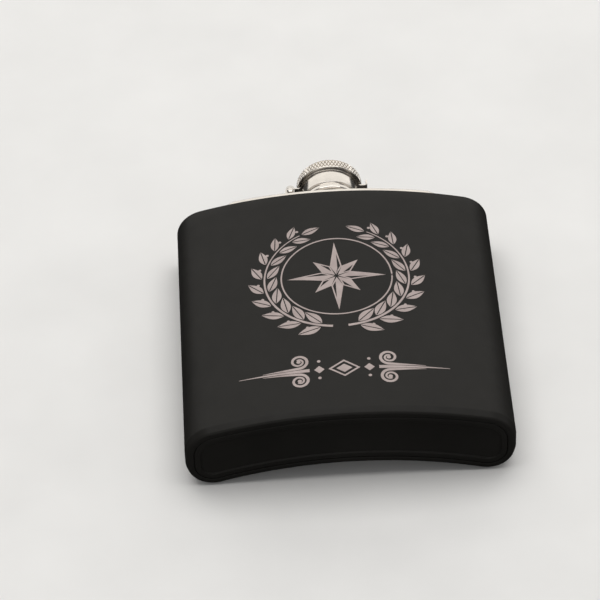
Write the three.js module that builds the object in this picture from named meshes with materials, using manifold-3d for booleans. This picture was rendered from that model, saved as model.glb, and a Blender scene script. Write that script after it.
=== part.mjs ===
// A six-ounce hip flask lying on its back: a kidney-shaped sheet-metal body, a shoulder and a base
// welded into its ends, a threaded spout, and a screw cap that turns in the ring of a hinged arm.
// Millimetres. +Z comes up out of the curved front, +Y points from the base to the cap, X is the width.
// The origin is under the middle of the whole flask, on the surface that its back edges lie on.

import * as THREE from 'three';
import { mergeVertices } from 'three/addons/utils/BufferGeometryUtils.js';
import Module from 'manifold-3d';

const wasm = await Module();
wasm.setup();

// ---- driving dimensions ----
const BODY_WIDTH = 95;
const BODY_HEIGHT = 95;              // base to the top edge of the coated sheet
const BODY_DEPTH = 26.6;             // back edges to the crown of the front
const BACK_HOLLOW = 5.5;             // how far the back curves in at its middle
const FRONT_RADIUS = 160;
const FRONT_CORNER = 10;             // radius where the front turns down into the sides
const BACK_CORNER = 8;
const SHEET = 0.8;                   // metal thickness of body, shoulder, base and cap

const FIT_GAP = 0.15;                // between pieces that are fixed together
const RUN_GAP = 0.2;                 // between pieces that move past each other

const BASE_LEAN_START = 2.2;         // the sheet leans in below this height above the base,
const BASE_LEAN = Math.PI / 9;       // by this angle,
const BASE_EDGE_RADIUS = 0.9;        // and then turns in round this edge
const BASE_RIM = 2.6;                // width of the turned-in rim, seen from below
const BASE_FLANGE_INSET = 1.5;       // edge of the base plate, on top of that rim
const WELD_LIP = 2.4;                // depth of the shoulder's lip inside the body

const SHOULDER_SINK = 0.15;          // the shoulder's rim lies this far below the sheet's top edge
const PLATEAU_TOP = 2.3;             // raised middle of the shoulder above that edge
const PLATEAU_INSET = 1.05;
const PLATEAU_HALF_LENGTH = 34.5;
const PLATEAU_END_RADIUS = 5;

const AXIS_HEIGHT = 16;              // spout and cap axis above the surface
const SPOUT_BORE = 4.9;
const SPOUT_RADIUS = 6;
const SPOUT_FLANGE = 8.2;
const SPOUT_TOP = 8.6;               // heights from here on are above the sheet's top edge

const THREAD_PITCH = 2;
const SPOUT_RIDGE = 0.58;            // radius of the rounded ridge
const SPOUT_TURNS = 1.75;
const LINER_RIDGE = 0.55;
const LINER_TURNS = 1.5;

const CAP_BOTTOM = 3.6;
const CAP_TOP = 15.6;
const KNURL_BOTTOM = 12.15;
const KNURL_RADIUS = 10;
const SKIRT_RADIUS = 9;
const BEAD_RADIUS = 9.1;             // rounded bead round the cap's mouth
const BEAD_TOP = 5.7;
const CAP_BORE = 7.95;
const LINER_RADIUS = 7.7;
const LINER_BORE = 6.9;
const LINER_BOTTOM = 4.2;
const LINER_TOP = 11.6;
const GASKET_RADIUS = 6.6;
const GASKET_TOP = LINER_TOP - SHEET - FIT_GAP;

const NECK_RADIUS = 8.25;            // the arm's ring runs in this neck, under the knurled head
const NECK_BOTTOM = 11.25;
const RING_INNER = 8.45;
const RING_OUTER = 9.25;
const RING_BOTTOM = 11.45;

const ARM_SHEET = 0.5;
const ARM_WIDTH = 4.4;
const ARM_FILLET = 1.2;              // where the ring widens into the arm on each side
const ARM_BEND = 0.9;                // outer radius of the arm's folds
const THUMB_TAB_X = 11.7;            // outer face of the upturned tab, on +X
const THUMB_TAB_TOP = 14;
const LIFT = 5;                      // travel of the arm's slots on the hinge pin

const HINGE_X = -12.1;
const PIN_RADIUS = 0.6;
const PIN_HEAD = 1.05;
const PIN_HEAD_HEIGHT = 0.5;
const LEG_BOTTOM = 3.25;
const SLOT_MARGIN = 0.55;            // metal left under the slots
const FLANGE_DEPTH = 2.1;               // of the leg's folded sides, across the slots
const COLLAR_RADIUS = 8.4;
const BRACKET_SHEET = 0.6;
const EAR_SHEET = 0.8;
const EAR_RADIUS = 1.25;
const EAR_TOP = 12.1;

const FRONT_STEPS = 20;
const CORNER_STEPS = 6;
const BACK_STEPS = 20;
const ROUND_STEPS = 36;
const FINE_STEPS = 24;

// ---- derived places ----
const bracketBottom = PLATEAU_TOP + FIT_GAP;
const bracketTop = bracketBottom + BRACKET_SHEET;
const ringTop = RING_BOTTOM + ARM_SHEET;
const armHalf = ARM_WIDTH / 2;
const legOuter = HINGE_X - FLANGE_DEPTH / 2 - ARM_SHEET;
const slotRadius = PIN_RADIUS + RUN_GAP;
const slotLow = LEG_BOTTOM + SLOT_MARGIN + slotRadius;
const pinHeight = slotLow + LIFT;
const earInner = armHalf + RUN_GAP;
const earOuter = earInner + EAR_SHEET;

const threadStart = CAP_BOTTOM + 0.9;

const totalLength = BODY_HEIGHT + CAP_TOP;
const topEdge = BODY_HEIGHT - totalLength / 2;
const baseFace = -totalLength / 2;

// ---- section of the body ----
// Every curve of the section is an arc, so a shell inside it is the same arcs with other radii.
const frontCornerX = BODY_WIDTH / 2 - FRONT_CORNER;
const frontCentre = BODY_DEPTH - FRONT_RADIUS;
const frontAngle = Math.asin(frontCornerX / (FRONT_RADIUS - FRONT_CORNER));
const frontCornerZ = frontCentre + Math.sqrt((FRONT_RADIUS - FRONT_CORNER) ** 2 - frontCornerX ** 2);
const backCornerX = BODY_WIDTH / 2 - BACK_CORNER;
const backSpan = backCornerX ** 2 + (BACK_CORNER - BACK_HOLLOW) ** 2 - BACK_CORNER ** 2;
const backRadius = backSpan / (2 * BACK_HOLLOW);
const backCentre = BACK_HOLLOW - backRadius;
const backAngle = Math.asin(backCornerX / (backRadius + BACK_CORNER));

function arcPoints(centreX, centreZ, radius, from, to, steps) {
  return Array.from({ length: steps + 1 }, (_, i) => {
    const angle = from + ((to - from) * i) / steps;
    return new THREE.Vector2(centreX + radius * Math.cos(angle), centreZ + radius * Math.sin(angle));
  });
}

function bodySection(inset) {
  const quarter = Math.PI / 2;
  const backCorner = BACK_CORNER - inset;
  const right = [
    ...arcPoints(backCornerX, BACK_CORNER, backCorner, -quarter - backAngle, -quarter, 1),
    ...arcPoints(backCornerX, BACK_CORNER, backCorner, -quarter, 0, CORNER_STEPS).slice(1),
    ...arcPoints(frontCornerX, frontCornerZ, FRONT_CORNER - inset, 0, quarter - frontAngle, CORNER_STEPS),
  ];
  const front = arcPoints(0, frontCentre, FRONT_RADIUS - inset,
    quarter - frontAngle, quarter + frontAngle, FRONT_STEPS);
  const left = right.map((p) => new THREE.Vector2(-p.x, p.y)).reverse();
  const back = arcPoints(0, backCentre, backRadius + inset,
    quarter + backAngle, quarter - backAngle, BACK_STEPS);
  return [...right, ...front.slice(1, -1), ...left, ...back.slice(1, -1)];
}

// ---- geometry helpers ----
function indexed(positions, triangles) {
  const geometry = new THREE.BufferGeometry();
  geometry.setAttribute('position', new THREE.Float32BufferAttribute(positions, 3));
  geometry.setIndex(triangles);
  geometry.computeVertexNormals();
  return geometry;
}

function toManifold(geometry) {
  const bare = geometry.clone();
  bare.deleteAttribute('normal');
  bare.deleteAttribute('uv');
  const merged = mergeVertices(bare, 1e-5);
  return new wasm.Manifold(new wasm.Mesh({
    numProp: 3,
    vertProperties: new Float32Array(merged.attributes.position.array),
    triVerts: new Uint32Array(merged.index.array),
  }));
}

function fromManifold(solid) {
  const mesh = solid.getMesh();
  return indexed(Array.from(mesh.vertProperties), Array.from(mesh.triVerts));
}

function join(...geometries) {
  return fromManifold(geometries.map(toManifold).reduce((whole, piece) => whole.add(piece)));
}

function cut(geometry, ...tools) {
  const whole = toManifold(geometry);
  return fromManifold(tools.map(toManifold).reduce((rest, tool) => rest.subtract(tool), whole));
}

// A wall that follows the body's section. Each station is [inset from the outside, y]; the stations
// close on themselves.
function wallAround(stations) {
  const rings = stations.map(([inset, y]) => bodySection(inset).map((p) => [p.x, y, p.y]));
  const count = rings[0].length;
  const triangles = [];
  rings.forEach((points, r) => {
    const next = (r + 1) % rings.length;
    points.forEach((_, i) => {
      const j = (i + 1) % count;
      triangles.push(r * count + i, next * count + j, next * count + i);
      triangles.push(r * count + i, r * count + j, next * count + j);
    });
  });
  return indexed(rings.flat(2), triangles);
}

// A flat plate of any outline in the X-Z plane, between two heights along Y.
function plate(shape, low, high, curveSteps = FINE_STEPS) {
  const geometry = new THREE.ExtrudeGeometry(shape, {
    depth: high - low, bevelEnabled: false, curveSegments: curveSteps,
  });
  return geometry.rotateX(Math.PI / 2).translate(0, high, 0);
}

function bodyPlate(inset, low, high) {
  return plate(new THREE.Shape(bodySection(inset)), low, high);
}

// A plate of any outline in the X-Y plane, between two depths along Z.
function sideways(shape, low, high, curveSteps = FINE_STEPS) {
  const geometry = new THREE.ExtrudeGeometry(shape, {
    depth: high - low, bevelEnabled: false, curveSegments: curveSteps,
  });
  return geometry.translate(0, 0, low);
}

// A solid turned about the cap's axis from a profile of [radius, height above the sheet's edge].
function turned(profile, steps = ROUND_STEPS) {
  const points = profile.map(([radius, height]) => new THREE.Vector2(radius, topEdge + height));
  return new THREE.LatheGeometry(points, steps).translate(0, 0, AXIS_HEIGHT);
}

function disc(radius, low, high, steps = ROUND_STEPS) {
  return turned([[0, low], [radius, low], [radius, high], [0, high]], steps);
}

// A rounded right-hand thread ridge: a round rod wound about the cap's axis.
class Helix extends THREE.Curve {
  constructor(radius, from, turns, startTurn) {
    super();
    Object.assign(this, { radius, from, turns, startTurn });
  }

  getPoint(t, target = new THREE.Vector3()) {
    const angle = 2 * Math.PI * (this.startTurn + t * this.turns);
    const y = topEdge + this.from + t * this.turns * THREAD_PITCH;
    return target.set(this.radius * Math.sin(angle), y, AXIS_HEIGHT + this.radius * Math.cos(angle));
  }
}

function threadRidge(radius, size, from, turns, startTurn) {
  const section = new THREE.Shape(arcPoints(0, 0, size, 0, 2 * Math.PI, 8).slice(0, -1));
  return new THREE.ExtrudeGeometry(section, {
    steps: Math.round(turns * FINE_STEPS),
    bevelEnabled: false,
    extrudePath: new Helix(radius, from, turns, startTurn),
  });
}

// ---- materials ----
const finish = (color, roughness, metalness) =>
  new THREE.MeshStandardMaterial({ color, roughness, metalness });
const materials = {
  coating: () => finish(0x2b2a29, 0.62, 0.1),
  steel: () => finish(0xcfc8bf, 0.22, 1),
  satinSteel: () => finish(0xb9b4ac, 0.38, 1),
  silicone: () => finish(0xe6e3dc, 0.7, 0),
};

const flask = new THREE.Group();

function add(name, geometry, material) {
  const mesh = new THREE.Mesh(geometry, material);
  mesh.name = name;
  flask.add(mesh);
}

// ---- body ----
function bodyWrap() {
  const edgeSteps = 3;
  const leanLength = (BASE_LEAN_START - BASE_EDGE_RADIUS * (1 - Math.sin(BASE_LEAN))) / Math.cos(BASE_LEAN);
  const edgeInset = BASE_EDGE_RADIUS * Math.cos(BASE_LEAN) + leanLength * Math.sin(BASE_LEAN);
  const leanStart = baseFace + BASE_LEAN_START;
  const turn = (radius, from, to) => arcPoints(edgeInset, baseFace + BASE_EDGE_RADIUS,
    radius, from, to, edgeSteps).map((p) => [p.x, p.y]);
  return wallAround([
    [0, topEdge],
    [0, leanStart],
    ...turn(BASE_EDGE_RADIUS, Math.PI + BASE_LEAN, 1.5 * Math.PI),
    [BASE_RIM, baseFace],
    [BASE_RIM, baseFace + SHEET],
    ...turn(BASE_EDGE_RADIUS - SHEET, 1.5 * Math.PI, Math.PI + BASE_LEAN),
    [SHEET, leanStart + SHEET * Math.tan(BASE_LEAN / 2)],
    [SHEET, topEdge],
  ]);
}

function basePlate() {
  const panelInset = BASE_RIM + FIT_GAP;
  const seat = baseFace + SHEET + FIT_GAP;
  const flange = bodyPlate(BASE_FLANGE_INSET, seat, seat + SHEET);
  const panel = bodyPlate(panelInset, baseFace, seat + SHEET / 2);
  const dish = bodyPlate(panelInset + SHEET, baseFace + SHEET, seat + 2 * SHEET);
  return cut(join(flange, panel), dish);
}

// The raised middle of the shoulder: the body's section, cut to length with round ends.
function plateauShape(inset) {
  const grow = PLATEAU_INSET - inset;
  const reach = PLATEAU_HALF_LENGTH + grow;
  const end = PLATEAU_END_RADIUS + grow;
  const straight = reach - end;
  const steps = 14;
  const front = (x) => frontCentre + Math.sqrt((FRONT_RADIUS - inset) ** 2 - x ** 2);
  const back = (x) => backCentre + Math.sqrt((backRadius + inset) ** 2 - x ** 2);
  const across = (edge, from, to) => Array.from({ length: steps + 1 }, (_, i) => {
    const x = from + ((to - from) * i) / steps;
    return new THREE.Vector2(x, edge(x));
  });
  const frontCorner = front(reach) - end / 4;
  const backCorner = back(reach) + end / 4;
  const shape = new THREE.Shape(across(front, straight, -straight));
  shape.quadraticCurveTo(-reach, frontCorner, -reach, front(reach) - end);
  shape.lineTo(-reach, back(reach) + end);
  shape.quadraticCurveTo(-reach, backCorner, -straight, back(straight));
  across(back, -straight, straight).slice(1).forEach((p) => shape.lineTo(p.x, p.y));
  shape.quadraticCurveTo(reach, backCorner, reach, back(reach) + end);
  shape.lineTo(reach, front(reach) - end);
  shape.quadraticCurveTo(reach, frontCorner, straight, front(straight));
  return shape;
}

function topPlate() {
  const curveSteps = 5;
  const inset = SHEET + FIT_GAP;
  const rimTop = topEdge - SHOULDER_SINK;
  const plug = bodyPlate(inset, topEdge - WELD_LIP, rimTop);
  const plateau = plate(plateauShape(PLATEAU_INSET), rimTop - SHEET / 2,
    topEdge + PLATEAU_TOP, curveSteps);
  const hollow = bodyPlate(inset + SHEET, topEdge - 2 * WELD_LIP, rimTop - SHEET);
  const pocket = plate(plateauShape(PLATEAU_INSET + SHEET), topEdge - WELD_LIP,
    topEdge + PLATEAU_TOP - SHEET, curveSteps);
  const hole = disc(SPOUT_RADIUS + FIT_GAP, -WELD_LIP, PLATEAU_TOP + WELD_LIP);
  return cut(join(plug, plateau), hollow, pocket, hole);
}

// ---- spout ----
function spout() {
  const flangeTop = PLATEAU_TOP - SHEET - FIT_GAP;
  const lipChamfer = 0.3;
  const tube = turned([
    [SPOUT_BORE, flangeTop - SHEET],
    [SPOUT_FLANGE, flangeTop - SHEET],
    [SPOUT_FLANGE, flangeTop],
    [SPOUT_RADIUS, flangeTop],
    [SPOUT_RADIUS, SPOUT_TOP - lipChamfer],
    [SPOUT_RADIUS - lipChamfer, SPOUT_TOP],
    [SPOUT_BORE, SPOUT_TOP],
    [SPOUT_BORE, flangeTop - SHEET],
  ]);
  return join(tube, threadRidge(SPOUT_RADIUS, SPOUT_RIDGE, threadStart, SPOUT_TURNS, 0));
}

// ---- cap ----
function capShell() {
  const chamfer = 0.35;
  const ease = 0.2;
  const beadRound = 0.6;
  const grooveTop = BEAD_TOP + 0.9;
  const grooveRadius = SKIRT_RADIUS - 0.5;
  const innerTop = CAP_TOP - SHEET;
  return turned([
    [0, innerTop],
    [CAP_BORE, innerTop],
    [CAP_BORE, CAP_BOTTOM],
    [BEAD_RADIUS - beadRound, CAP_BOTTOM],
    [BEAD_RADIUS - ease, CAP_BOTTOM + ease],
    [BEAD_RADIUS, CAP_BOTTOM + beadRound],
    [BEAD_RADIUS, BEAD_TOP - beadRound],
    [BEAD_RADIUS - ease, BEAD_TOP - ease],
    [grooveRadius, BEAD_TOP],
    [grooveRadius, grooveTop - ease],
    [SKIRT_RADIUS, grooveTop],
    [SKIRT_RADIUS, NECK_BOTTOM - ease],
    [SKIRT_RADIUS - ease, NECK_BOTTOM],
    [NECK_RADIUS, NECK_BOTTOM],
    [NECK_RADIUS, KNURL_BOTTOM],
    [KNURL_RADIUS, KNURL_BOTTOM],
    [KNURL_RADIUS, CAP_TOP - chamfer],
    [KNURL_RADIUS - chamfer, CAP_TOP],
    [0, CAP_TOP],
  ], 2 * FINE_STEPS);
}

function capLiner() {
  const startTurn = -0.25;
  const cup = turned([
    [0, LINER_TOP - SHEET],
    [LINER_BORE, LINER_TOP - SHEET],
    [LINER_BORE, LINER_BOTTOM],
    [LINER_RADIUS, LINER_BOTTOM],
    [LINER_RADIUS, LINER_TOP],
    [0, LINER_TOP],
  ]);
  const ridgeStart = threadStart + THREAD_PITCH * (startTurn + 0.5);
  return join(cup, threadRidge(LINER_BORE, LINER_RIDGE, ridgeStart, LINER_TURNS, startTurn));
}

// ---- arm ----
// The arm's flat part from above: a ring for the cap's neck, with a tongue on each side.
function ringShape(left, right) {
  const side = armHalf + ARM_FILLET;
  const across = Math.sqrt((RING_OUTER + ARM_FILLET) ** 2 - side ** 2);
  const touch = Math.atan2(side, across);
  const half = Math.PI / 2;
  const fillet = (x, z, from, to) => arcPoints(x, z, ARM_FILLET, from, to, 4);
  const rim = (from, to) => arcPoints(0, 0, RING_OUTER, from, to, FINE_STEPS).slice(1, -1);
  const shape = new THREE.Shape([
    new THREE.Vector2(right, -armHalf),
    new THREE.Vector2(right, armHalf),
    ...fillet(across, side, 3 * half, 2 * half + touch),
    ...rim(touch, 2 * half - touch),
    ...fillet(-across, side, -touch, -half),
    new THREE.Vector2(left, armHalf),
    new THREE.Vector2(left, -armHalf),
    ...fillet(-across, -side, half, touch),
    ...rim(2 * half + touch, 4 * half - touch),
    ...fillet(across, -side, 2 * half - touch, half),
  ]);
  shape.holes.push(new THREE.Path(arcPoints(0, 0, RING_INNER, 0, 4 * half, 2 * FINE_STEPS).slice(0, -1)));
  return shape;
}

// The fold down into the hinge leg, seen along Z.
function legShape(from) {
  const y = (height) => topEdge + height;
  const inner = legOuter + ARM_SHEET;
  const bendInner = ARM_BEND - ARM_SHEET;
  const shape = new THREE.Shape();
  shape.moveTo(legOuter, y(LEG_BOTTOM));
  shape.lineTo(inner, y(LEG_BOTTOM));
  shape.absarc(inner + bendInner, y(RING_BOTTOM - bendInner), bendInner, Math.PI, Math.PI / 2, true);
  shape.lineTo(from, y(RING_BOTTOM));
  shape.lineTo(from, y(ringTop));
  shape.absarc(legOuter + ARM_BEND, y(ringTop - ARM_BEND), ARM_BEND, Math.PI / 2, Math.PI, false);
  shape.closePath();
  return shape;
}

// The fold up into the thumb tab, seen along Z.
function thumbTabShape(from) {
  const y = (height) => topEdge + height;
  const inner = THUMB_TAB_X - ARM_SHEET;
  const bendInner = ARM_BEND - ARM_SHEET;
  const round = ARM_SHEET / 2;
  const shape = new THREE.Shape();
  shape.moveTo(from, y(RING_BOTTOM));
  shape.absarc(THUMB_TAB_X - ARM_BEND, y(RING_BOTTOM + ARM_BEND), ARM_BEND, -Math.PI / 2, 0, false);
  shape.absarc(THUMB_TAB_X - round, y(THUMB_TAB_TOP - round), round, 0, Math.PI, false);
  shape.absarc(inner - bendInner, y(ringTop + bendInner), bendInner, 0, -Math.PI / 2, true);
  shape.lineTo(from, y(ringTop));
  shape.closePath();
  return shape;
}

// One side of the leg, folded in towards the spout, with the slot that slides on the hinge pin.
function flangeShape() {
  const chamfer = 0.6;
  const outer = legOuter + ARM_SHEET / 2;
  const inner = HINGE_X + FLANGE_DEPTH / 2;
  const top = topEdge + RING_BOTTOM + ARM_SHEET / 2;
  const shape = new THREE.Shape();
  shape.moveTo(outer, topEdge + LEG_BOTTOM);
  shape.lineTo(inner - chamfer, topEdge + LEG_BOTTOM);
  shape.lineTo(inner, topEdge + LEG_BOTTOM + chamfer);
  shape.lineTo(inner, top);
  shape.lineTo(outer, top);
  shape.closePath();
  const slot = new THREE.Path();
  slot.absarc(HINGE_X, topEdge + pinHeight, slotRadius, 0, Math.PI, false);
  slot.absarc(HINGE_X, topEdge + slotLow, slotRadius, Math.PI, 2 * Math.PI, false);
  shape.holes.push(slot);
  return shape;
}

function captiveArm() {
  const steps = 6;
  const overlap = 0.1;
  const leftEnd = HINGE_X + FLANGE_DEPTH / 2;
  const rightEnd = THUMB_TAB_X - ARM_BEND;
  const flat = plate(ringShape(leftEnd, rightEnd), topEdge + RING_BOTTOM, topEdge + ringTop, steps)
    .translate(0, 0, AXIS_HEIGHT);
  const across = (shape) => sideways(shape, AXIS_HEIGHT - armHalf, AXIS_HEIGHT + armHalf, steps);
  const flanges = [-armHalf, armHalf - ARM_SHEET].map((side) =>
    sideways(flangeShape(), AXIS_HEIGHT + side, AXIS_HEIGHT + side + ARM_SHEET, steps));
  const leg = across(legShape(leftEnd + overlap));
  const thumbTab = across(thumbTabShape(rightEnd - overlap));
  return join(flat, leg, thumbTab, ...flanges);
}

// ---- hinge ----
function earShape() {
  const shape = new THREE.Shape();
  shape.moveTo(HINGE_X - EAR_RADIUS, topEdge + bracketBottom);
  shape.lineTo(HINGE_X + EAR_RADIUS, topEdge + bracketBottom);
  shape.absarc(HINGE_X, topEdge + EAR_TOP - EAR_RADIUS, EAR_RADIUS, 0, Math.PI, false);
  shape.closePath();
  const hole = new THREE.Path();
  hole.absarc(HINGE_X, topEdge + pinHeight, PIN_RADIUS + FIT_GAP, 0, 2 * Math.PI, false);
  shape.holes.push(hole);
  return shape;
}

function hingeBracket() {
  const steps = 8;
  const collar = disc(COLLAR_RADIUS, bracketBottom, bracketTop);
  const tongue = new THREE.Shape();
  tongue.moveTo(HINGE_X - EAR_RADIUS, AXIS_HEIGHT - earOuter);
  tongue.lineTo(0, AXIS_HEIGHT - earOuter);
  tongue.lineTo(0, AXIS_HEIGHT + earOuter);
  tongue.lineTo(HINGE_X - EAR_RADIUS, AXIS_HEIGHT + earOuter);
  tongue.closePath();
  const ears = [-earOuter, earInner].map((side) =>
    sideways(earShape(), AXIS_HEIGHT + side, AXIS_HEIGHT + side + EAR_SHEET, steps));
  const hole = disc(SPOUT_RADIUS + FIT_GAP, bracketBottom - BRACKET_SHEET, bracketTop + BRACKET_SHEET);
  const floor = plate(tongue, topEdge + bracketBottom, topEdge + bracketTop);
  return cut(join(collar, floor, ...ears), hole);
}

function hingePin() {
  const end = earOuter + FIT_GAP;
  const profile = [
    [0, -end - PIN_HEAD_HEIGHT],
    [PIN_HEAD, -end - PIN_HEAD_HEIGHT],
    [PIN_HEAD, -end],
    [PIN_RADIUS, -end],
    [PIN_RADIUS, end],
    [PIN_HEAD, end],
    [PIN_HEAD, end + PIN_HEAD_HEIGHT],
    [0, end + PIN_HEAD_HEIGHT],
  ];
  const points = profile.map(([radius, along]) => new THREE.Vector2(radius, along));
  return new THREE.LatheGeometry(points, 16).rotateX(Math.PI / 2)
    .translate(HINGE_X, topEdge + pinHeight, AXIS_HEIGHT);
}

// ---- the flask ----
add('body_wrap', bodyWrap(), materials.coating());
add('base_plate', basePlate(), materials.coating());
add('top_plate', topPlate(), materials.steel());
add('spout', spout(), materials.satinSteel());
add('hinge_bracket', hingeBracket(), materials.satinSteel());
add('hinge_pin', hingePin(), materials.steel());
add('captive_arm', captiveArm(), materials.steel());
add('cap_shell', capShell(), materials.steel());
add('cap_liner', capLiner(), materials.satinSteel());
add('cap_gasket', disc(GASKET_RADIUS, SPOUT_TOP + FIT_GAP, GASKET_TOP), materials.silicone());

export default flask;
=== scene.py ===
import math

import bmesh
import bpy
import numpy as np
from mathutils import Matrix, Vector


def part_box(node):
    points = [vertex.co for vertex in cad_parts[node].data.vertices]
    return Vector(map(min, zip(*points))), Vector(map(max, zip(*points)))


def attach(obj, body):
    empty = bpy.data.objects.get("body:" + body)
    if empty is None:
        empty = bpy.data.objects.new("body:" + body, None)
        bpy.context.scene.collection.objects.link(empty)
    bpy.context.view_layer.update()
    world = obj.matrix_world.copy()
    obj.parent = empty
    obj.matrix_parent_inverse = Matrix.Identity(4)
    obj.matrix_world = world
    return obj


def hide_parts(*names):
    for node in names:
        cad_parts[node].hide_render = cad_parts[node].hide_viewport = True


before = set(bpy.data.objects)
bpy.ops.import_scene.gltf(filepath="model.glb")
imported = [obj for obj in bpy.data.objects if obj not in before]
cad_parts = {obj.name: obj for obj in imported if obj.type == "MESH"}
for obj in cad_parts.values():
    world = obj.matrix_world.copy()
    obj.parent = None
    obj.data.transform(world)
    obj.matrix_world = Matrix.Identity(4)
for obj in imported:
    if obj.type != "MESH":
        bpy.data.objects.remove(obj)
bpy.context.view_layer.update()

# A hip flask on its back: matte black sheet body with a laser-engraved ornament, bright shoulder,
# threaded spout, knurled screw cap and the hinged arm whose ring holds it. Lengths are in millimetres
# up to the last step of each function, where MM turns them into metres.
MM = 0.001

# ---- dimensions from the boxes of the CAD parts, and the CAD model's own where the boxes can't tell ----
wrap_low, wrap_high = (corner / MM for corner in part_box("body_wrap"))
BODY_WIDTH = wrap_high.x - wrap_low.x
BODY_DEPTH = wrap_high.z - wrap_low.z
BASE = wrap_low.y
TOP = wrap_high.y
cap_low, cap_high = (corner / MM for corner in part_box("cap_shell"))
AXIS_Z = (cap_low.z + cap_high.z) / 2
KNURL_RADIUS = (cap_high.z - cap_low.z) / 2
CAP_BOTTOM = cap_low.y
CAP_TOP = cap_high.y
PLATEAU_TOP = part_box("top_plate")[1].y / MM
SPOUT_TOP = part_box("spout")[1].y / MM
SPOUT_RADIUS = 6.0
SHOULDER_SINK = 0.15
PLATEAU_INSET = 1.05
PLATEAU_REACH = 34.5
PLATEAU_END = 5.0
THREAD_PITCH = 2.0
pin_low, pin_high = (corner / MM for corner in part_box("hinge_pin"))

# ---- the body's section ----
SKIN = 0.04                  # the coat lies this far inside the CAD wall, to leave room for the engraving
FRONT_RADIUS = 160.0
FRONT_CORNER = 10.0
BACK_CORNER = 8.0
BACK_HOLLOW = 5.5
SHEET = 0.8

FRONT_CORNER_X = BODY_WIDTH / 2 - FRONT_CORNER
FRONT_CENTRE = BODY_DEPTH - FRONT_RADIUS
FRONT_ANGLE = math.asin(FRONT_CORNER_X / (FRONT_RADIUS - FRONT_CORNER))
FRONT_CORNER_Z = FRONT_CENTRE + math.sqrt((FRONT_RADIUS - FRONT_CORNER) ** 2 - FRONT_CORNER_X ** 2)
BACK_CORNER_X = BODY_WIDTH / 2 - BACK_CORNER
BACK_SPAN = BACK_CORNER_X ** 2 + (BACK_CORNER - BACK_HOLLOW) ** 2 - BACK_CORNER ** 2
BACK_RADIUS = BACK_SPAN / (2 * BACK_HOLLOW)
BACK_CENTRE = BACK_HOLLOW - BACK_RADIUS
BACK_ANGLE = math.asin(BACK_CORNER_X / (BACK_RADIUS + BACK_CORNER))
QUARTER = math.pi / 2


def arc(centre_x, centre_z, radius, start, end, steps):
    angles = np.linspace(start, end, steps + 1)
    return np.column_stack([centre_x + radius * np.cos(angles), centre_z + radius * np.sin(angles)])


def body_section(inset):
    """The kidney outline, inset from the outside: [x, z] points, anticlockwise."""
    side = BODY_WIDTH / 2 - inset
    right = np.vstack([
        arc(BACK_CORNER_X, BACK_CORNER, BACK_CORNER - inset, -QUARTER - BACK_ANGLE, 0, 28),
        np.column_stack([np.full(3, side), np.linspace(BACK_CORNER, FRONT_CORNER_Z, 5)[1:-1]]),
        arc(FRONT_CORNER_X, FRONT_CORNER_Z, FRONT_CORNER - inset, 0, QUARTER - FRONT_ANGLE, 28),
    ])
    front = arc(0, FRONT_CENTRE, FRONT_RADIUS - inset, QUARTER - FRONT_ANGLE, QUARTER + FRONT_ANGLE, 150)
    left = right[::-1] * [-1, 1]
    back = arc(0, BACK_CENTRE, BACK_RADIUS + inset, QUARTER + BACK_ANGLE, QUARTER - BACK_ANGLE, 120)
    return np.vstack([right, front[1:-1], left, back[1:-1]])


# ---- mesh helpers ----
def make_piece(name, points, faces, material, body, slot, stands_for=(), sharp=35.0):
    """A closed mesh from points in millimetres, smooth except at edges over the sharp angle."""
    mesh = bpy.data.meshes.new(name)
    mesh.from_pydata([tuple(p) for p in np.asarray(points, float) * MM], [], [list(f) for f in faces])
    tidy = bmesh.new()
    tidy.from_mesh(mesh)
    bmesh.ops.remove_doubles(tidy, verts=tidy.verts, dist=1e-8)
    bmesh.ops.recalc_face_normals(tidy, faces=tidy.faces)
    tidy.to_mesh(mesh)
    tidy.free()
    mesh.polygons.foreach_set("use_smooth", [True] * len(mesh.polygons))
    mesh.set_sharp_from_angle(angle=math.radians(sharp))
    mesh.materials.append(material)
    piece = bpy.data.objects.new(name, mesh)
    bpy.context.scene.collection.objects.link(piece)
    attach(piece, body)
    if stands_for:
        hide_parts(*stands_for)
    return piece


def grid_faces(rows, columns, close_rows):
    """Quads over rows of points; each row closes on itself, and the rows do too if close_rows."""
    last = rows if close_rows else rows - 1
    return [
        (r * columns + c, r * columns + (c + 1) % columns,
         (r + 1) % rows * columns + (c + 1) % columns, (r + 1) % rows * columns + c)
        for r in range(last) for c in range(columns)
    ]


def capped(rings):
    """Rings of points joined by quads, with the first and last ring filled."""
    count = len(rings[0])
    faces = grid_faces(len(rings), count, False)
    faces += [tuple(range(count)), tuple(range((len(rings) - 1) * count, len(rings) * count))]
    return np.vstack(rings), faces


def around_body(stations):
    """Rings of the body's section at each [inset, y]."""
    rings = []
    for inset, y in stations:
        ring = body_section(inset)
        rings.append(np.column_stack([ring[:, 0], np.full(len(ring), y), ring[:, 1]]))
    return rings


def quarter_round(inset, y, radius, start, end, steps=6):
    """Stations round a quarter circle centred on [inset, y]."""
    return [tuple(p) for p in arc(inset, y, radius, start, end, steps)]


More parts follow.
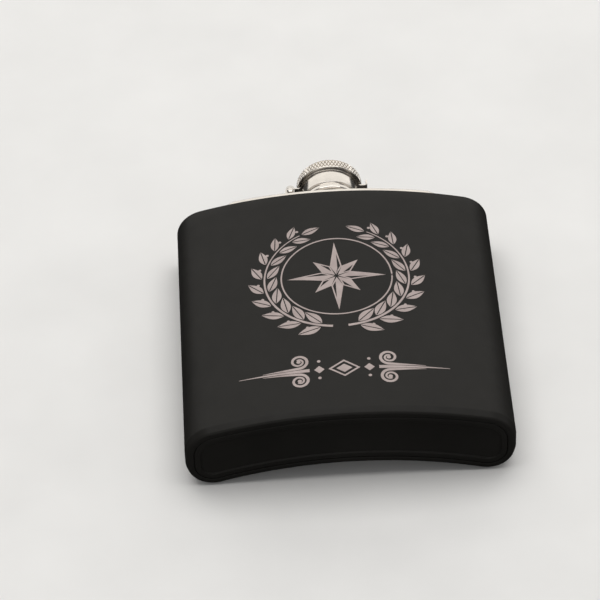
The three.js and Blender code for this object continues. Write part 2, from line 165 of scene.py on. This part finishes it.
def rounded(corners, steps=5):
    """An open profile of [a, b, radius] corners with each corner between its ends turned into an arc."""
    corners = [np.array(c, float) for c in corners]
    count = len(corners)
    result = []
    for i, corner in enumerate(corners):
        point, radius = corner[:2], corner[2]
        if radius <= 0 or i in (0, count - 1):
            result.append(point)
            continue
        before = corners[i - 1][:2] - point
        after = corners[i + 1][:2] - point
        before /= np.linalg.norm(before)
        after /= np.linalg.norm(after)
        half = math.acos(max(-1.0, min(1.0, float(before @ after)))) / 2
        reach = radius / math.tan(half)
        start, end = point + before * reach, point + after * reach
        centre = point + (before + after) / np.linalg.norm(before + after) * radius / math.sin(half)
        a0 = math.atan2(*(start - centre)[::-1])
        turn = (math.atan2(*(end - centre)[::-1]) - a0 + math.pi) % (2 * math.pi) - math.pi
        angles = a0 + np.linspace(0, 1, steps + 1) * turn
        result.extend(centre + radius * np.array([math.cos(a), math.sin(a)]) for a in angles)
    return np.array(result)


def turned(profile, steps, closed, radius_of=None):
    """Points and faces of a profile of [radius, y] turned about the cap's axis. An open profile
    starts and ends on the axis. radius_of(angles, index) may replace a row's radius."""
    angles = np.linspace(0, 2 * math.pi, steps, endpoint=False)
    rows = []
    for i, (radius, y) in enumerate(profile):
        r = np.full(steps, radius) if radius_of is None else radius_of(angles, i)
        rows.append(np.column_stack([r * np.sin(angles), np.full(steps, y), AXIS_Z + r * np.cos(angles)]))
    return np.vstack(rows), grid_faces(len(rows), steps, closed)


# ---- materials ----
def new_material(name, **inputs):
    material = bpy.data.materials.new(name)
    material.use_nodes = True
    nodes = material.node_tree.nodes
    shader = next(n for n in nodes if n.type == "BSDF_PRINCIPLED")
    for socket, value in inputs.items():
        shader.inputs[socket.replace("_", " ")].default_value = value
    return material, nodes, material.node_tree.links, shader


def noise(nodes, links, scale, detail, stretch=None, place=None):
    """Object-space noise, scale in cycles per metre, optionally stretched along an axis."""
    texture = nodes.new("ShaderNodeTexNoise")
    texture.inputs["Scale"].default_value = scale
    texture.inputs["Detail"].default_value = detail
    vector = place or nodes.new("ShaderNodeTexCoord").outputs["Object"]
    if stretch:
        mapping = nodes.new("ShaderNodeMapping")
        mapping.inputs["Scale"].default_value = stretch
        links.new(vector, mapping.inputs["Vector"])
        vector = mapping.outputs["Vector"]
    links.new(vector, texture.inputs["Vector"])
    return texture.outputs["Fac"]


def ramp(nodes, links, factor, low, high):
    """Maps the middle of a noise's range to a colour or a grey between low and high."""
    node = nodes.new("ShaderNodeValToRGB")
    for element, position, value in zip(node.color_ramp.elements, (0.3, 0.7), (low, high)):
        element.position = position
        element.color = (*value, 1) if hasattr(value, "__len__") else (value, value, value, 1)
    links.new(factor, node.inputs["Fac"])
    return node.outputs["Color"]


def bump(nodes, links, shader, height, distance, strength, below=None):
    node = nodes.new("ShaderNodeBump")
    node.inputs["Distance"].default_value = distance
    node.inputs["Strength"].default_value = strength
    links.new(height, node.inputs["Height"])
    if below is not None:
        links.new(below, node.inputs["Normal"])
    links.new(node.outputs["Normal"], shader.inputs["Normal"])
    return node.outputs["Normal"]


def black_coat():
    """Matte powder coat: fine orange peel, faint mottling in colour and gloss."""
    material, nodes, links, shader = new_material("black_coat", Specular_IOR_Level=0.13)
    mottle = noise(nodes, links, scale=60, detail=4)
    links.new(ramp(nodes, links, mottle, (0.0091, 0.0086, 0.0076), (0.0109, 0.0103, 0.0091)),
              shader.inputs["Base Color"])
    gloss = noise(nodes, links, scale=220, detail=5)
    links.new(ramp(nodes, links, gloss, 0.44, 0.52), shader.inputs["Roughness"])
    peel, swell = (noise(nodes, links, scale=scale, detail=2) for scale in (2600, 420))
    fine = bump(nodes, links, shader, peel, distance=0.00003, strength=0.35)
    bump(nodes, links, shader, swell, distance=0.00006, strength=0.2, below=fine)
    return material


def around_axis(nodes, links):
    """Coordinates for turned steel: distance from the cap's axis, and height along it."""
    place = nodes.new("ShaderNodeTexCoord")
    shift = nodes.new("ShaderNodeMapping")
    shift.inputs["Location"].default_value = (0, 0, -AXIS_Z * MM)
    shift.inputs["Scale"].default_value = (1, 0, 1)
    links.new(place.outputs["Object"], shift.inputs["Vector"])
    distance = nodes.new("ShaderNodeVectorMath")
    distance.operation = "LENGTH"
    links.new(shift.outputs["Vector"], distance.inputs[0])
    split = nodes.new("ShaderNodeSeparateXYZ")
    links.new(place.outputs["Object"], split.inputs["Vector"])
    merge = nodes.new("ShaderNodeCombineXYZ")
    links.new(distance.outputs["Value"], merge.inputs["X"])
    links.new(split.outputs["Y"], merge.inputs["Y"])
    return merge.outputs["Vector"]


def steel(name, tint, smooth, rough, lines, depth):
    """Stainless steel with fine lines: lines is the grain's scale along X, Y and Z on a sheet, or one
    number for marks left by turning."""
    material, nodes, links, shader = new_material(name, Metallic=1.0)
    smudge = noise(nodes, links, scale=160, detail=4)
    darker = tuple(0.86 * c for c in tint)
    links.new(ramp(nodes, links, smudge, darker, tint), shader.inputs["Base Color"])
    if hasattr(lines, "__len__"):
        grain = noise(nodes, links, scale=1, detail=3, stretch=lines)
    else:
        grain = noise(nodes, links, scale=lines, detail=3, place=around_axis(nodes, links))
    links.new(ramp(nodes, links, grain, smooth, rough), shader.inputs["Roughness"])
    bump(nodes, links, shader, grain, distance=depth, strength=0.3)
    return material


def engraved_steel():
    """Bare steel left by a laser: satin, faintly pink, with the beam's close scan lines."""
    material, nodes, links, shader = new_material("engraved_steel", Metallic=0.55)
    blotch = noise(nodes, links, scale=240, detail=4)
    links.new(ramp(nodes, links, blotch, (0.30, 0.25, 0.241), (0.368, 0.312, 0.30)),
              shader.inputs["Base Color"])
    scan = noise(nodes, links, scale=1, detail=2, stretch=(300, 9000, 300))
    links.new(ramp(nodes, links, scan, 0.42, 0.58), shader.inputs["Roughness"])
    bump(nodes, links, shader, scan, distance=0.00002, strength=0.4)
    return material


def soft_silicone():
    """Moulded silicone: pale, matte and faintly uneven."""
    material, nodes, links, shader = new_material("silicone")
    tone = noise(nodes, links, scale=300, detail=4)
    links.new(ramp(nodes, links, tone, (0.66, 0.64, 0.59), (0.72, 0.70, 0.65)), shader.inputs["Base Color"])
    gloss = noise(nodes, links, scale=900, detail=3)
    links.new(ramp(nodes, links, gloss, 0.54, 0.66), shader.inputs["Roughness"])
    bump(nodes, links, shader, noise(nodes, links, scale=2400, detail=2), distance=0.00002, strength=0.3)
    return material


WARM_STEEL = (0.66, 0.625, 0.58)
COAT = black_coat()
COOL_STEEL = (0.56, 0.54, 0.51)
TURNED_STEEL = steel("turned_steel", WARM_STEEL, smooth=0.10, rough=0.20, lines=6000, depth=0.000005)
PLATE_STEEL = steel("plate_steel", WARM_STEEL, smooth=0.14, rough=0.26, lines=(120, 2500, 5000),
                    depth=0.000006)
SATIN_STEEL = steel("satin_steel", COOL_STEEL, smooth=0.26, rough=0.40, lines=5000, depth=0.000008)
ENGRAVING = engraved_steel()
SILICONE = soft_silicone()


# ---- body ----
def build_wrap():
    """The coated sheet: crisp top edge; at the base it leans in, then turns under to a flat rim."""
    lean = math.radians(20)
    lean_start = 2.2
    crease = 0.5
    crease_radius = 1.6
    edge = 0.9
    rim = 2.6
    lip = 0.14
    lean_length = (lean_start - edge * (1 - math.sin(lean))) / math.cos(lean)
    edge_inset = SKIN + edge * math.cos(lean) + lean_length * math.sin(lean)
    side = np.linspace(TOP - lip, BASE + lean_start + crease, 26)[1:]
    stations = [(SHEET / 2, TOP)]
    stations += quarter_round(SKIN + lip, TOP - lip, lip, QUARTER, 2 * QUARTER)
    stations += [(SKIN, y) for y in side]
    stations += [tuple(p) for p in rounded([
        (SKIN, BASE + lean_start + crease, 0), (SKIN, BASE + lean_start, crease_radius),
        (edge_inset - edge * math.cos(lean), BASE + edge * (1 - math.sin(lean)), 0)])[1:-1]]
    stations += quarter_round(edge_inset, BASE + edge, edge, 2 * QUARTER + lean, 3 * QUARTER, 10)
    stations += quarter_round(rim - lip, BASE + lip, lip, 3 * QUARTER, 4 * QUARTER)
    stations += [(rim, BASE + SHEET)]
    stations += quarter_round(edge_inset, BASE + edge, edge - SHEET, 3 * QUARTER, 2 * QUARTER + lean)
    stations += [(SHEET, BASE + lean_start + SHEET * math.tan(lean / 2)), (SHEET, TOP)]
    rings = around_body(stations)
    make_piece("coated_body", np.vstack(rings), grid_faces(len(rings), len(rings[0]), True),
               COAT, "flask", "black_coating", ["body_wrap"], 50)


def build_base():
    """The base plate: a flat pan with a rounded edge and a shallow pressed panel."""
    flange = 1.5
    inset = 2.75
    hollow = inset + 5
    panel = inset + 1.6
    edge = 0.3
    step = 0.45
    seat = BASE + 0.95
    stations = [(hollow, seat + SHEET), (flange, seat + SHEET), (flange, seat), (inset, seat)]
    stations += quarter_round(inset + edge, BASE + edge, edge, 2 * QUARTER, 3 * QUARTER)
    stations += [(panel, BASE)]
    stations += quarter_round(panel, BASE + step / 2, step / 2, -QUARTER, 0, 4)
    stations += quarter_round(panel + step, BASE + step / 2, step / 2, 2 * QUARTER, QUARTER, 4)
    make_piece("coated_base", *capped(around_body(stations)),
               COAT, "flask", "black_coating", ["base_plate"], 50)


def plateau_outline(inset):
    """The raised middle of the shoulder: the body's section cut to length, with rounded ends."""
    grow = inset - PLATEAU_INSET
    reach = PLATEAU_REACH - grow
    end = PLATEAU_END - grow
    straight = reach - end

    def front(x):
        return FRONT_CENTRE + np.sqrt((FRONT_RADIUS - inset) ** 2 - x ** 2)

    def back(x):
        return BACK_CENTRE + np.sqrt((BACK_RADIUS + inset) ** 2 - x ** 2)

    def corner(start, middle, finish):
        start, middle, finish = (np.array(point) for point in (start, middle, finish))
        t = np.linspace(0, 1, 14)[1:-1, None]
        return (1 - t) ** 2 * start + 2 * t * (1 - t) * middle + t ** 2 * finish

    across = np.linspace(straight, -straight, 90)
    top = np.column_stack([across, front(across)])
    left = [
        corner((-straight, front(straight)), (-reach, front(reach) - end / 4), (-reach, front(reach) - end)),
        [(-reach, front(reach) - end), (-reach, back(reach) + end)],
        corner((-reach, back(reach) + end), (-reach, back(reach) + end / 4), (-straight, back(straight))),
    ]
    bottom = np.column_stack([across[::-1], back(across[::-1])])
    right = [np.asarray(part)[::-1] * [-1, 1] for part in left[::-1]]
    return np.vstack([top, *left, bottom, *right])


def boolean(piece, tool, operation):
    """Joins tool to piece, or cuts it away, and removes tool."""
    modifier = piece.modifiers.new("cut", "BOOLEAN")
    modifier.operation = operation
    modifier.solver = "EXACT"
    modifier.object = tool
    graph = bpy.context.evaluated_depsgraph_get()
    result = bpy.data.meshes.new_from_object(piece.evaluated_get(graph))
    piece.modifiers.clear()
    piece.data = result
    bpy.data.objects.remove(tool)
    result.polygons.foreach_set("use_smooth", [True] * len(result.polygons))
    result.set_sharp_from_angle(angle=math.radians(35))


def build_shoulder():
    """The bright shoulder: a plate welded just inside the coated sheet, pressed up in its middle."""
    outer = 0.95
    edge = 0.3
    cove = 0.35
    crown = 0.55
    weld_lip = 2.4
    hole_radius = SPOUT_RADIUS + 0.1
    hole_reach = 4
    low = TOP - weld_lip
    high = TOP - SHOULDER_SINK
    rim = around_body([(outer + SHEET, low), (outer, low), (outer, high - edge),
                       *quarter_round(outer + edge, high - edge, edge, 2 * QUARTER, QUARTER)[1:]])
    stations = [(PLATEAU_INSET - cove, high - cove), (PLATEAU_INSET - cove, high)]
    stations += quarter_round(PLATEAU_INSET - cove, high + cove, cove, -QUARTER, 0)
    stations += quarter_round(PLATEAU_INSET + crown, PLATEAU_TOP - crown, crown, 2 * QUARTER, QUARTER, 8)
    rings = []
    for inset, y in stations:
        ring = plateau_outline(inset)
        rings.append(np.column_stack([ring[:, 0], np.full(len(ring), y), ring[:, 1]]))
    hole = turned([(0, TOP - hole_reach), (hole_radius, TOP - hole_reach),
                   (hole_radius, TOP + hole_reach), (0, TOP + hole_reach)], 96, False)
    finish = (PLATE_STEEL, "flask", "polished_steel")
    shoulder = make_piece("steel_shoulder", *capped(rim), *finish, ["top_plate"])
    boolean(shoulder, make_piece("plateau_tool", *capped(rings), *finish), "UNION")
    boolean(shoulder, make_piece("hole_tool", *hole, *finish), "DIFFERENCE")


# ---- spout ----
def build_spout():
    """The spout: a plain foot, a rounded thread that fades at both ends, and a rolled mouth."""
    bore = 4.9
    bottom = TOP + 0.35
    ridge = 0.58
    ridge_half_width = 1.15 * ridge
    start = CAP_BOTTOM + 0.9
    turns = 1.75
    fade = math.radians(40)
    row_height = 0.08
    threaded = np.arange(TOP + 2.2, SPOUT_TOP - 0.3, row_height)
    mouth = rounded([(SPOUT_RADIUS, threaded[-1], 0), (SPOUT_RADIUS, SPOUT_TOP, 0.45),
                     (bore, SPOUT_TOP, 0.5), (bore, bottom, 0)])
    profile = np.vstack([[(bore, bottom), (SPOUT_RADIUS, bottom)],
                         np.column_stack([np.full(len(threaded), SPOUT_RADIUS), threaded]), mouth[1:-1]])

    def radius_of(angles, index):
        radius, y = profile[index]
        result = np.full(len(angles), radius)
        if not 2 <= index < 2 + len(threaded):
            return result
        nearest = np.round((y - start) / THREAD_PITCH - angles / (2 * math.pi))
        wound = angles + 2 * math.pi * nearest
        off = y - start - THREAD_PITCH * wound / (2 * math.pi)
        inside = np.clip(wound / fade, 0, 1) * np.clip((2 * math.pi * turns - wound) / fade, 0, 1)
        height = ridge * inside * (3 - 2 * inside) * inside
        return result + height * np.sqrt(np.clip(1 - (off / ridge_half_width) ** 2, 0, 1))

    make_piece("threaded_spout", *turned(profile, 180, True, radius_of),
               SATIN_STEEL, "flask", "satin_steel", ["spout"])


# ---- cap ----
def knurl_faces(faces, first, rows, columns, cells, slope):
    """The knurled rows' quads, each split along the groove's bottom or edge that crosses it. A row of
    diamonds is cells quads wide, and a groove's side slopes over slope of them."""
    result = []
    for i, quad in enumerate(faces):
        row, column = i // columns - first, i % columns
        if not 0 <= row < rows - 1:
            result.append(quad)
            continue
        a, b, c, d = quad
        rising = abs((column - row + cells // 2) % cells - cells // 2)
        falling = abs((column + row + 1 + cells // 2) % cells - cells // 2)
        along_rising = rising == 0 or (rising == slope and falling != 0)
        result += [(a, b, c), (a, c, d)] if along_rising else [(a, b, d), (b, c, d)]
    return result


def build_cap():
    """The cap: rolled lip, groove, polished skirt, neck, diamond-knurled head and a shallow dished top."""
    bore = 7.95
    under = CAP_TOP - 0.8
    head = CAP_TOP - 3.45
    neck = 8.25
    skirt = 9.0
    shoulder = head - 0.9
    lip = 8.45
    bead = 9.1
    bead_top = CAP_BOTTOM + 2.05
    ring_groove = 8.5
    head_edge = KNURL_RADIUS - 0.02
    knurl_low, knurl_high = head + 0.3, CAP_TOP - 0.28
    diamonds = 60
    diamond_height = 2.0
    cells = 12
    slope = 2
    cell_height = diamond_height / cells
    depth = 0.30
    rows = int((knurl_high - knurl_low) / cell_height) + 1
    bevel = KNURL_RADIUS - 0.33
    rim = 8.6
    dish_edge = 8.2
    dish = CAP_TOP - 0.16
    centre_mark = 1.2
    mark_floor = 0.9
    mark = CAP_TOP - 0.32
    below = rounded([
        (0, under, 0), (bore, under, 0.3), (bore, CAP_BOTTOM, 0.12), (lip, CAP_BOTTOM, 0.1),
        (bead, CAP_BOTTOM + 0.35, 0.5), (bead, bead_top - 0.1, 0.75),
        (ring_groove, bead_top + 0.05, 0.1), (ring_groove, bead_top + 0.6, 0.12),
        (skirt - 0.02, bead_top + 0.85, 0.12), (skirt, shoulder, 0.15),
        (neck, shoulder, 0.05), (neck, head, 0.1), (head_edge, head, 0.14),
        (head_edge, knurl_low - 0.06, 0.05), (KNURL_RADIUS, knurl_low, 0),
    ], steps=7)
    knurled = np.column_stack([np.full(rows, KNURL_RADIUS), knurl_low + cell_height * np.arange(rows)])
    above = rounded([
        (KNURL_RADIUS, knurled[-1, 1], 0), (bevel, CAP_TOP, 0.15), (rim, CAP_TOP, 0.15),
        (dish_edge, dish, 0.15), (centre_mark, dish, 0.1), (mark_floor, mark, 0.1), (0, mark, 0),
    ])
    profile = np.vstack([below[:-1], knurled, above[1:]])
    first = len(below) - 1

    def radius_of(angles, index):
        row = index - first
        if not 0 <= row < rows:
            return np.full(len(angles), profile[index][0])
        column = np.arange(len(angles))
        to_groove = [cells / 2 - np.abs((column + way * row) % cells - cells / 2) for way in (1, -1)]
        return KNURL_RADIUS - depth * np.clip(1 - np.minimum(*to_groove) / slope, 0, 1)

    columns = diamonds * cells
    points, faces = turned(profile, columns, False, radius_of)
    make_piece("knurled_cap", points, knurl_faces(faces, first, rows, columns, cells, slope),
               TURNED_STEEL, "cap", "polished_steel", ["cap_shell"], 30)


def build_hinge_pin():
    """The hinge pin, with a low domed head at each end."""
    half = (pin_high.z - pin_low.z) / 2
    shank = 0.6
    dome = 0.7
    head_radius = (pin_high.x - pin_low.x) / 2
    head = half - 0.5
    side = rounded([(0, half, 0), (dome, half, 0.5), (head_radius, half - 0.25, 0.2),
                    (head_radius, head, 0.05), (shank, head, 0)])
    profile = np.vstack([side * [1, -1], side[::-1]])
    points, faces = turned(profile, 40, False)
    middle = (pin_low + pin_high) / 2
    upright = (points - [0, 0, AXIS_Z])[:, [0, 2, 1]] * [1, -1, 1] + list(middle)
    make_piece("hinge_rivet", upright, faces, TURNED_STEEL, "flask", "polished_steel", ["hinge_pin"])


def softened(node, name, material, body, slot, width):
    """A piece made from a CAD node's own shape, with every sharp edge rounded by width."""
    flat = math.radians(0.6)
    sharp_angle = math.radians(40)
    mesh = bmesh.new()
    mesh.from_mesh(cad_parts[node].data)
    bmesh.ops.remove_doubles(mesh, verts=mesh.verts, dist=2e-6)
    bmesh.ops.dissolve_limit(mesh, angle_limit=flat, verts=mesh.verts, edges=mesh.edges)
    sharp = [e for e in mesh.edges if len(e.link_faces) == 2 and e.calc_face_angle() > sharp_angle]
    bmesh.ops.bevel(mesh, geom=sharp, offset=width * MM, segments=3, profile=0.5, affect="EDGES",
                    clamp_overlap=True)
    points = [v.co / MM for v in mesh.verts]
    faces = [[v.index for v in f.verts] for f in mesh.faces]
    mesh.free()
    make_piece(name, points, faces, material, body, slot, [node], 32)


# ---- engraving ----
def on_front(flat, depth):
    """Points [u, v] of the unrolled front, u from its middle and v from the base, at a depth under the
    CAD model's surface."""
    flat = np.asarray(flat, float)
    angle = flat[:, 0] / FRONT_RADIUS
    radius = FRONT_RADIUS - depth
    return np.column_stack([radius * np.sin(angle), BASE + flat[:, 1], FRONT_CENTRE + radius * np.cos(angle)])


def ribbon(points, widths):
    """The two edges of a line of varying width."""
    points = np.asarray(points, float)
    along = np.gradient(points, axis=0)
    along /= np.linalg.norm(along, axis=1)[:, None]
    across = np.column_stack([-along[:, 1], along[:, 0]]) * np.asarray(widths)[:, None] / 2
    return points + across, points - across


def between(start, end, steps):
    """Points spaced evenly along a straight line."""
    return np.linspace(np.asarray(start, float), np.asarray(end, float), steps + 1)


def outline(corners, width):
    """A closed line of one width inside a convex polygon."""
    steps = 6
    corners = np.asarray(corners, float)
    inner = []
    for i, corner in enumerate(corners):
        before, after = corners[i - 1] - corner, corners[(i + 1) % len(corners)] - corner
        before, after = before / np.linalg.norm(before), after / np.linalg.norm(after)
        half = math.acos(float(before @ after)) / 2
        inner.append(corner + (before + after) / np.linalg.norm(before + after) * width / math.sin(half))
    loop = [(i, (i + 1) % len(corners)) for i in range(len(corners))]
    return [(between(corners[i], corners[j], steps), between(inner[i], inner[j], steps)) for i, j in loop]


def dot(centre, radius):
    """A filled circle, as the strip between its upper and lower half."""
    angles = np.linspace(0, math.pi, 13)
    arcs = [np.column_stack([np.cos(angles), way * np.sin(angles)]) * radius + centre for way in (1, -1)]
    return [tuple(arcs)]


def leaf(base, direction, length, half_width):
    """A pointed leaf in two halves with an open midrib."""
    rib = 0.16
    t = np.linspace(0, 1, 12)[:, None]
    along = np.array([math.cos(direction), math.sin(direction)])
    across = np.array([-along[1], along[0]])
    spine = np.asarray(base) + along * length * t
    swell = half_width * np.sin(math.pi * t ** 0.85)
    gap = np.minimum(rib, swell)
    return [(spine + across * way * gap, spine + across * way * np.maximum(swell, gap)) for way in (1, -1)]


def compass_star(centre, long, short, notch):
    """Eight points, long and short in turn, each with one full half and one outlined half."""
    line = 0.42
    hub = 0.55
    strips = []
    centre = np.asarray(centre, float)

    def at(degrees, radius):
        angle = math.radians(degrees)
        return centre + radius * np.array([math.cos(angle), math.sin(angle)])

    for k in range(8):
        tip = at(45 * k, long if k % 2 == 0 else short)
        heart = at(45 * k, hub)
        full, empty = at(45 * k + 22.5, notch), at(45 * k - 22.5, notch)
        strips.append((between(heart, tip, 14), between(full, tip, 14)))
        strips += outline([heart, tip, empty], line)
    return strips


def laurel_branch(centre, radius, way):
    """One branch of the wreath, from the bottom round to near the top; way is 1 or -1 for right or left."""
    centre = np.asarray(centre, float)

    def at(degrees, reach):
        angle = math.radians(degrees) - QUARTER
        return centre + reach * np.array([way * math.cos(angle), math.sin(angle)])

    pairs = 9
    first, spacing = 15, 16
    lean = math.radians(33)
    leaf_length, leaf_half_width = 7.2, 1.55
    shrink = 0.028
    stand_off = 0.85
    berry = 0.45

    def facing(angle):
        return angle if way > 0 else math.pi - angle

    stem = np.array([at(a, radius) for a in np.linspace(6, 152, 60)])
    strips = [ribbon(stem, np.linspace(0.85, 0.3, len(stem)))]
    for k in range(pairs):
        degrees = first + spacing * k
        size = 1 - shrink * k
        for side in (1, -1):
            base = at(degrees, radius + side * stand_off)
            heading = facing(math.radians(degrees) - side * lean)
            strips += leaf(base, heading, leaf_length * size, leaf_half_width * size)
        strips += dot(at(degrees + 9.5, radius + 1.9), berry)
    strips += leaf(at(154, radius), facing(math.radians(155)), 6.0, 1.25)
    return strips


def volute(origin, sideways, upward):
    """A scroll: a spiral from its eye outward, that runs out along the rule in a long taper."""
    eye = np.array([0.0, 3.9])
    eye_radius = 0.62
    inner, outer = 0.75, 2.7
    winding = np.linspace(0, 1.6 * 2 * math.pi, 70)
    radius = inner + (outer - inner) * winding / winding[-1]
    angles = winding - winding[-1] - QUARTER
    curl = eye + np.column_stack([radius * np.cos(angles), radius * np.sin(angles)])
    run_length = np.linspace(0.9, 10.5, 16)
    sink = 0.55 * np.linspace(0.05, 1, 16) ** 0.7
    path = np.vstack([curl, np.column_stack([run_length, curl[-1, 1] - sink])])
    widths = np.concatenate([np.linspace(0.5, 0.95, len(curl)), np.linspace(0.92, 0.12, len(run_length))])
    place = np.array([sideways, upward])
    strip = tuple(np.asarray(origin) + edge * place for edge in ribbon(path, widths))
    return [strip, *dot(np.asarray(origin) + eye * place, eye_radius)]


def rule(centre):
    """The band under the wreath: lozenges, tapering bars, four scrolls and dots."""
    u, v = centre
    stud = 7.2
    bar_start, bar_end = 10, 30.5
    scroll = 13.0

    def lozenge(x, half_width, half_height):
        return [(x - half_width, v), (x, v - half_height), (x + half_width, v), (x, v + half_height)]

    def filled(corners):
        left, low, right, high = (np.array(c) for c in corners)
        upper = np.vstack([between(left, high, 6), between(high, right, 6)[1:]])
        lower = np.vstack([between(left, low, 6), between(low, right, 6)[1:]])
        return [(upper, lower)]

    strips = outline(lozenge(u, 4.6, 3.4), 0.55) + filled(lozenge(u, 2.3, 1.7))
    for way in (1, -1):
        strips += filled(lozenge(u + way * stud, 1.5, 1.5))
        bar = between((u + way * bar_start, v), (u + way * bar_end, v), 20)
        strips.append(ribbon(bar, np.linspace(1.25, 0.15, len(bar))))
        for up in (1, -1):
            strips += volute((u + way * scroll, v), way, up)
            strips += dot((u + way * stud, v + up * 3.4), 0.5)
    return strips


def build_engraving():
    """The laser-bared ornament: thin closed inlays, let into the coat and 0.03 mm proud of it."""
    face_depth = SKIN - 0.03
    root_depth = SKIN + 0.05
    middle = -0.5
    wreath = np.array([middle, 57.0])
    turn = np.linspace(0, 2 * math.pi, 121)
    unit_circle = np.column_stack([np.cos(turn), np.sin(turn)])
    strips = compass_star(wreath, long=14.6, short=9.4, notch=4.6)
    strips.append(tuple(wreath + radius * unit_circle for radius in (16.6, 16.15)))
    for way in (1, -1):
        strips += laurel_branch(wreath, 21.4, way)
    strips += rule((middle, 18.0))
    points, faces = [], []
    for one, other in strips:
        first = sum(len(p) for p in points)
        count = len(one)
        layers = [on_front(edge, depth) for depth in (face_depth, root_depth) for edge in (one, other)]
        points.append(np.vstack(layers))
        top_a, top_b, low_a, low_b = (first + count * k for k in range(4))
        for i in range(count - 1):
            faces += [(top_a + i, top_a + i + 1, top_b + i + 1, top_b + i),
                      (low_a + i, low_b + i, low_b + i + 1, low_a + i + 1),
                      (top_a + i, low_a + i, low_a + i + 1, top_a + i + 1),
                      (top_b + i, top_b + i + 1, low_b + i + 1, low_b + i)]
        for i in (0, count - 1):
            faces.append((top_a + i, top_b + i, low_b + i, low_a + i))
    make_piece("engraved_ornament", np.vstack(points), faces, ENGRAVING, "flask", "satin_steel", (), 40)


build_wrap()
build_base()
build_shoulder()
build_spout()
build_cap()
build_hinge_pin()
build_engraving()
softened("captive_arm", "ring_arm", PLATE_STEEL, "arm", "polished_steel", width=0.12)
softened("hinge_bracket", "folded_bracket", SATIN_STEEL, "flask", "satin_steel", width=0.12)
softened("cap_liner", "threaded_liner", SATIN_STEEL, "cap", "satin_steel", width=0.08)
softened("cap_gasket", "seal", SILICONE, "cap", "silicone", width=0.2)


# ---- camera, light and floor, in metres ----
def camera_axes(azimuth, elevation, roll):
    """Columns right, up and back of a camera that looks along azimuth and down by elevation."""
    az, el, tilt = (math.radians(v) for v in (azimuth, elevation, roll))
    back = Vector((math.sin(az) * math.cos(el), -math.cos(az) * math.cos(el), math.sin(el)))
    right = (-back).cross(Vector((0, 0, 1))).normalized()
    up = right.cross(-back)
    rolled_right = math.cos(tilt) * right + math.sin(tilt) * up
    rolled_up = -math.sin(tilt) * right + math.cos(tilt) * up
    return rolled_right, rolled_up, back


def build_camera():
    distance = 0.916
    aim = Vector((-0.01231, BASE * MM + 0.02198, 0.05029))
    right, up, back = camera_axes(azimuth=-1.23, elevation=43.0, roll=-2.38)
    data = bpy.data.cameras.new("camera")
    data.lens = 195
    data.sensor_width = 36
    data.clip_start = 0.05
    camera = bpy.data.objects.new("camera", data)
    facing = Matrix((right, up, back)).transposed().to_4x4()
    camera.matrix_world = Matrix.Translation(aim + back * distance) @ facing
    bpy.context.scene.collection.objects.link(camera)
    bpy.context.scene.camera = camera


def area_light(name, place, target, size, power, colour=(1.0, 0.98, 0.95)):
    """A rectangular softbox aimed at target."""
    data = bpy.data.lights.new(name, "AREA")
    data.shape = "RECTANGLE"
    data.size, data.size_y = size
    data.energy = power
    data.color = colour
    lamp = bpy.data.objects.new(name, data)
    lamp.location = place
    lamp.rotation_euler = (Vector(target) - Vector(place)).to_track_quat("-Z", "Y").to_euler()
    bpy.context.scene.collection.objects.link(lamp)


def level_sheet(name, half, height, material):
    """A square backdrop sheet, lying level, in metres."""
    corners = [(-half, -half, height), (half, -half, height), (half, half, height), (-half, half, height)]
    mesh = bpy.data.meshes.new(name)
    mesh.from_pydata(corners, [], [(0, 1, 2, 3)])
    mesh.materials.append(material)
    piece = bpy.data.objects.new(name, mesh)
    bpy.context.scene.collection.objects.link(piece)
    return piece


def build_floor():
    material, nodes, links, shader = new_material("pale_floor")
    tone = noise(nodes, links, scale=30, detail=5)
    links.new(ramp(nodes, links, tone, (0.70, 0.70, 0.695), (0.74, 0.74, 0.735)), shader.inputs["Base Color"])
    gloss = noise(nodes, links, scale=80, detail=3)
    links.new(ramp(nodes, links, gloss, 0.7, 0.8), shader.inputs["Roughness"])
    level_sheet("floor", half=4.0, height=0.0, material=material)


def build_dark_card():
    """Black card under the flask that only reflections see, as photographers lay it under bright steel."""
    material, nodes, links, shader = new_material("black_card", Roughness=0.9)
    tone = noise(nodes, links, scale=20, detail=2)
    links.new(ramp(nodes, links, tone, 0.012, 0.018), shader.inputs["Base Color"])
    card = level_sheet("black_card", half=0.5, height=0.0008, material=material)
    card.visible_camera = False
    card.visible_diffuse = False
    card.visible_shadow = False
    card.visible_transmission = False


def build_studio():
    world = bpy.data.worlds.new("studio")
    world.use_nodes = True
    background = world.node_tree.nodes["Background"]
    background.inputs["Color"].default_value = (0.97, 0.98, 1.0, 1)
    background.inputs["Strength"].default_value = 0.24
    bpy.context.scene.world = world
    middle = (0, 0, 0.015)
    area_light("overhead", (0, 0.15, 1.15), middle, (1.5, 1.1), 13)
    area_light("back_softbox", (-0.05, 1.1, 0.6), (-0.05, 0, 0.6), (2.2, 1.2), 9.5, (1.0, 0.97, 0.92))
    area_light("side_softbox", (1.15, -0.1, 0.5), middle, (0.9, 0.7), 1.8)
    area_light("front_fill", (-0.3, -1.3, 0.45), middle, (1.2, 0.8), 3)
    build_floor()
    build_dark_card()
    bpy.context.scene.view_settings.view_transform = "Standard"


build_camera()
build_studio()
